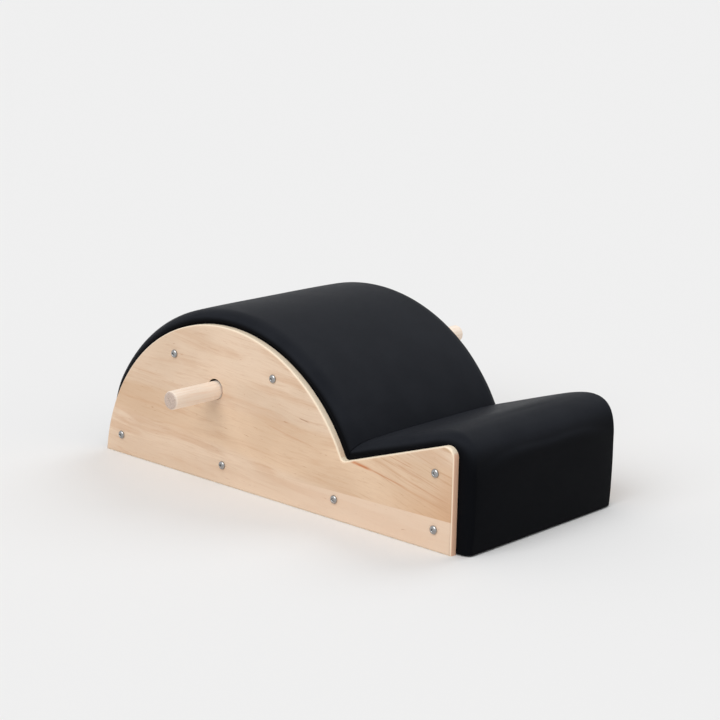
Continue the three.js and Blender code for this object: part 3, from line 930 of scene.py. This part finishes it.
def bolts(material):
    pattern = bolt_mesh(material)
    for side, sign in (("near", -1), ("far", 1)):
        for name in bolt_names(side):
            place = bolt_place(name)
            bolt = bpy.data.objects.new(name.replace("bolt_", "screw_"), pattern.data)
            bpy.context.scene.collection.objects.link(bolt)
            bolt.location = (place.x, sign * (OUTER_HALF + SEAT_GAP), place.y)
            bolt.rotation_euler = (math.pi if sign < 0 else 0, 0, 0)
            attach(bolt, "body")
            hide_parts(name)
    bpy.data.objects.remove(pattern)


# Handle rod
ROD_COUNT = 96
ROD_END_COUNT = 8


def handle_rod(material):
    middle = (ROD_LOW.y + ROD_HIGH.y) / 2
    half = (ROD_HIGH.y - ROD_LOW.y) / 2
    end = [
        (ROD_RADIUS - inset, half - depth)
        for inset, depth in rounded_edge(ROD_END_RADIUS, ROD_END_COUNT)
    ]
    profile = [(radius, -y) for radius, y in reversed(end)] + end
    rings = turned_rings(profile, ROD_COUNT)
    shift = Vector((ROD_X, middle, ROD_Z))
    rod = mesh_piece("rod", *skin([[p + shift for p in ring] for ring in rings]), material)
    crisp(rod)
    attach(rod, "rod")
    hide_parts("handle_rod")


# The cushions start hollow where the cloth simulation swells them. Its moves are smoothed and
# capped outwards, and the foam gives only its share of those inwards and sideways
BARREL_HOLLOW = 0.4 * MM
SEAT_HOLLOW = 1 * MM
HOLLOW_FADE = 60 * MM
BARREL_SWELL = {"pressure": 4.0, "cap": 5 * MM, "smoothing": 12}
SEAT_SWELL = {"pressure": 1.0, "cap": 2.5 * MM, "smoothing": 60}
SWELL_FRAMES = 20
FOAM_GIVE = 0.2
HELD_COUNT = 3

# Cushions: rows follow each cushion's length, each from a foot on the boards to the surface
BARREL_ROWS = 170
SEAT_RUN_ROWS = 44
SEAT_CORNER_ROWS = 40
SEAT_FACE_ROWS = 26
FOOT_COUNT = 2
BELLY_COUNT = 4
SHOULDER_COUNT = 10
CROWN_COUNT = 72

# Where along the barrel its bulge grows and shrinks, and how the step's rows bunch and fade
BULGE_GROWS = math.radians(38), math.radians(62)
BULGE_SHRINKS = math.radians(88), math.radians(118)
BULGE_LOSS = 0.2
RUN_BUNCHING = 1.4
CORNER_FADE_SHARE = 0.45
FACE_FADE_SHARE = 0.5
HEM_POWER = 3


def crease_lip(distance):
    """How far a surface curls down at a distance from the crease."""
    left = 1 - min(distance / CREASE_LIP, 1)
    return CREASE_LIP * (1 - math.sqrt(1 - left * left))


def valley_reach(distance):
    """How far the shoulder reaches in from the side at a distance from the crease."""
    return mix(VALLEY_SHOULDER_REACH, SHOULDER_REACH, smooth(distance, 0, VALLEY_REACH))


def barrel_bulge(angle):
    """How far the cushion bulges out over the panel: least on its slope above the valley."""
    share = smooth(angle, *BULGE_GROWS)
    share *= 1 - BULGE_LOSS * smooth(angle, *BULGE_SHRINKS)
    return mix(BULGE, CROWN_BULGE, share)


def barrel_rows():
    tail = tail_angle(BARREL_RADIUS, HEM_HEIGHT)
    crease = angle_of(valley_point(BARREL_RADIUS + PAD_RISE, -PAD_RISE))
    foot_radius = BARREL_RADIUS - PAD_INSET + SEAT_GAP
    foot_tail = tail_angle(foot_radius, HEM_HEIGHT)
    foot_end = angle_of(valley_point(foot_radius, PAD_INSET - SEAT_GAP))
    gap = SEAT_GAP / BARREL_RADIUS
    rows = []
    for share in shares(BARREL_ROWS):
        angle = mix(tail, crease + gap, share)
        rise = mix(TAIL_RISE, PAD_RISE, smooth((tail - angle) * BARREL_RADIUS, 0, TAIL_FADE_LENGTH))
        away = (angle - crease) * BARREL_RADIUS
        hollow = BARREL_HOLLOW * smooth(rise, 0, PAD_RISE) * smooth(away, 0, HOLLOW_FADE)
        rise -= crease_lip(away) + hollow
        top = on_circle(BARREL_RADIUS + rise, angle)
        foot = on_circle(foot_radius, mix(foot_tail, foot_end + gap, share))
        bulge = barrel_bulge(angle) * smooth(away, 0, VALLEY_REACH)
        rows.append((top, foot, rise, valley_reach(away), bulge))
    return rows


def seat_rows():
    face_x = PANEL_FRONT_X + FRONT_PAD_RISE
    face_top = step_height(face_x, -PAD_RISE)
    corner_run = run_of(Vector((face_x, face_top)))
    crease_run = run_of(valley_point(BARREL_RADIUS + PAD_RISE, -PAD_RISE)) + SEAT_GAP
    turn_run = corner_run - SEAT_CORNER_REACH
    foot_depth = PAD_INSET - SEAT_GAP
    foot_run = run_of(valley_point(BARREL_RADIUS - PAD_INSET + SEAT_GAP, foot_depth)) + SEAT_GAP
    foot_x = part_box("front_board")[1].x + SEAT_GAP
    foot_corner = Vector((foot_x, step_height(foot_x, foot_depth)))
    foot_turn = on_step(turn_run, foot_depth)
    face_foot = Vector((foot_x, face_top - FRONT_CORNER_REACH))
    turn_start = on_step(turn_run, -PAD_RISE)
    turn_end = Vector((face_x, face_top - FRONT_CORNER_REACH))
    rows = []
    for even_share in shares(SEAT_RUN_ROWS)[:-1]:
        share = even_share**RUN_BUNCHING
        run = mix(crease_run, turn_run, share)
        away = run - crease_run
        rise = PAD_RISE - crease_lip(away) - SEAT_HOLLOW * smooth(away, 0, HOLLOW_FADE)
        foot = on_step(mix(foot_run, turn_run, share), foot_depth)
        bulge = BULGE * smooth(away, 0, VALLEY_REACH)
        rows.append((on_step(run, -rise), foot, rise, valley_reach(away), bulge))
    for share in shares(SEAT_CORNER_ROWS)[:-1]:
        before = turn_start.lerp(Vector((face_x, face_top)), share)
        after = Vector((face_x, face_top)).lerp(turn_end, share)
        if share < 0.5:
            foot = foot_turn.lerp(foot_corner, 2 * share)
        else:
            foot = foot_corner.lerp(face_foot, 2 * share - 1)
        rise = mix(PAD_RISE, FRONT_PAD_RISE, share)
        reach = mix(SHOULDER_REACH, FRONT_SHOULDER_REACH, share)
        hollow = SEAT_HOLLOW * (1 - smooth(min(share, 1 - share), 0, CORNER_FADE_SHARE))
        top = before.lerp(after, share)
        top -= hollow * (top - foot).normalized()
        rows.append((top, foot, rise - hollow, reach, BULGE))
    for share in shares(SEAT_FACE_ROWS):
        z = mix(turn_end.y, HEM_HEIGHT, share)
        rise = FRONT_PAD_RISE - (FRONT_PAD_RISE - FRONT_PAD_HEM_RISE) * share**HEM_POWER
        rise -= SEAT_HOLLOW * (1 - smooth(share, FACE_FADE_SHARE, 1))
        top = Vector((PANEL_FRONT_X + rise, z))
        rows.append((top, Vector((foot_x, z)), rise, FRONT_SHOULDER_REACH, BULGE))
    return rows


def half_crossing(height, rise, reach, bulge):
    """Half of a row's outline, from the foot to the middle, as distances across and up."""
    edge = height - rise
    widest = edge + BULGE_SHARE * rise
    bulge = min(bulge, BULGE_LIMIT_SHARE * rise)
    crown = min(CROWN_HEIGHT, CROWN_LIMIT_SHARE * rise)
    belly = 2 * min(bulge, BELLY_LIMIT_SHARE * (widest - edge))
    half = [Vector((CUSHION_HALF, edge * share)) for share in shares(FOOT_COUNT)]
    for share in shares(BELLY_COUNT)[1:]:
        up = mix(belly * share * (1 - share), widest - edge, share * share)
        half.append(Vector((CUSHION_HALF + bulge * share * (2 - share), edge + up)))
    inside = CUSHION_HALF + bulge - reach
    for share in shares(SHOULDER_COUNT)[1:]:
        angle = math.pi / 2 * share
        up = widest + (height - crown - widest) * math.sin(angle)
        half.append(Vector((inside + reach * math.cos(angle), up)))
    for k in range(CROWN_COUNT // 2):
        share = 1 - (k + 1) / (CROWN_COUNT // 2)
        half.append(Vector((inside * share, height - crown * share**CROWN_POWER)))
    return half


def crossing(top, foot, rise, reach, bulge):
    """A row's closed outline: side, bulge over the panel, round shoulder, crown, and back down.

    The far side bulges out more, and its shoulder stays short at the valley.
    """
    height = (top - foot).length
    far = half_crossing(height, rise, min(reach, SHOULDER_REACH), bulge + FAR_BULGE)
    near = half_crossing(height, rise, reach, bulge)
    outline = far + [Vector((-p.x, p.y)) for p in reversed(near[:-1])]
    out = (top - foot).normalized()
    return [Vector((foot.x + out.x * p.y, p.x, foot.y + out.y * p.y)) for p in outline]


def hold(piece, count):
    """Names the points that the cloth can't move: a cushion's foot, hems and crease."""
    held = piece.vertex_groups.new(name="held")
    last = len(piece.data.vertices) - count
    for index in range(len(piece.data.vertices)):
        place = index % count
        if index < count or index >= last or min(place, count - 1 - place) < HELD_COUNT:
            held.add([index], 1, "REPLACE")


def cloth_moves(piece, start, pressure):
    """How the points of a piece move from their start when it is blown up as cloth."""
    cloth = piece.modifiers.new("cloth", "CLOTH")
    cloth.settings.vertex_group_mass = "held"
    cloth.settings.use_pressure = True
    cloth.settings.uniform_pressure_force = pressure
    cloth.settings.effector_weights.gravity = 0
    cloth.point_cache.frame_end = SWELL_FRAMES
    for step in range(SWELL_FRAMES + 1):
        bpy.context.scene.frame_set(step)
    shaped = piece.evaluated_get(bpy.context.evaluated_depsgraph_get())
    moves = numpy.array([v.co - before for v, before in zip(shaped.data.vertices, start)])
    piece.modifiers.clear()
    piece.vertex_groups.clear()
    bpy.context.scene.frame_set(1)
    return moves


def swell(piece, count, pressure, cap, smoothing):
    """Blows a cushion up as cloth; count is the number of points in a row.

    The moves are smoothed over the cushion and capped outwards. Inwards and sideways the foam gives
    only its share of them.
    """
    mesh = piece.data
    start = [v.co.copy() for v in mesh.vertices]
    hold(piece, count)
    moves = cloth_moves(piece, start, pressure).reshape((-1, count, 3))
    for _ in range(smoothing):
        moves[1:-1] = (moves[:-2] + 2 * moves[1:-1] + moves[2:]) / 4
        moves[:, 1:-1] = (moves[:, :-2] + 2 * moves[:, 1:-1] + moves[:, 2:]) / 4
    for vertex, before, move in zip(mesh.vertices, start, moves.reshape((-1, 3))):
        normal = vertex.normal.copy()
        move = Vector(move)
        out = move.dot(normal)
        move = (move - out * normal) * FOAM_GIVE
        out = cap * math.tanh(out / cap) if out > 0 else FOAM_GIVE * out
        vertex.co = before + move + out * normal
    mesh.update()


def cushion(name, rows, nodes, swelling, material):
    rings = [crossing(*row) for row in rows]
    piece = mesh_piece(name, *skin(rings), material)
    swell(piece, len(rings[0]), **swelling)
    crisp(piece, CUSHION_EDGE)
    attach(piece, "body")
    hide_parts(*nodes)


# Carried-over boards, rails and inserts keep their CAD shape, and the base board its plain look
PLYWOOD_NODES = ("barrel_skin", "seat_deck", "front_board", "inner_rib")
RAIL_NODES = ("tail_rail", "base_middle", "base_valley", "front_lower", "front_upper", "crown_")


def dress(prefixes, material):
    """Gives a material to every CAD node that still shows and whose name starts with a prefix."""
    for name, node in frame["nodes"].items():
        if name.startswith(prefixes) and not node.hide_render:
            node.data.materials.clear()
            node.data.materials.append(material)


camera()
world()
soft_light("key", KEY_LEVEL, KEY_SOFTNESS, KEY_FROM)
soft_light("back", BACK_LEVEL, BACK_SOFTNESS, BACK_FROM)
floor()
cover = leather()
wood = panel_wood()
side_panel("near", -1, wood)
side_panel("far", 1, wood)
bolts(bolt_steel())
handle_rod(rod_wood())
cushion("barrel_cushion", barrel_rows(), ("barrel_cover", "barrel_foam"), BARREL_SWELL, cover)
cushion("seat_cushion", seat_rows(), ("seat_cover", "seat_foam"), SEAT_SWELL, cover)
dress(PLYWOOD_NODES, plywood())
dress(RAIL_NODES, rail_wood())
dress(("insert_",), insert_zinc())
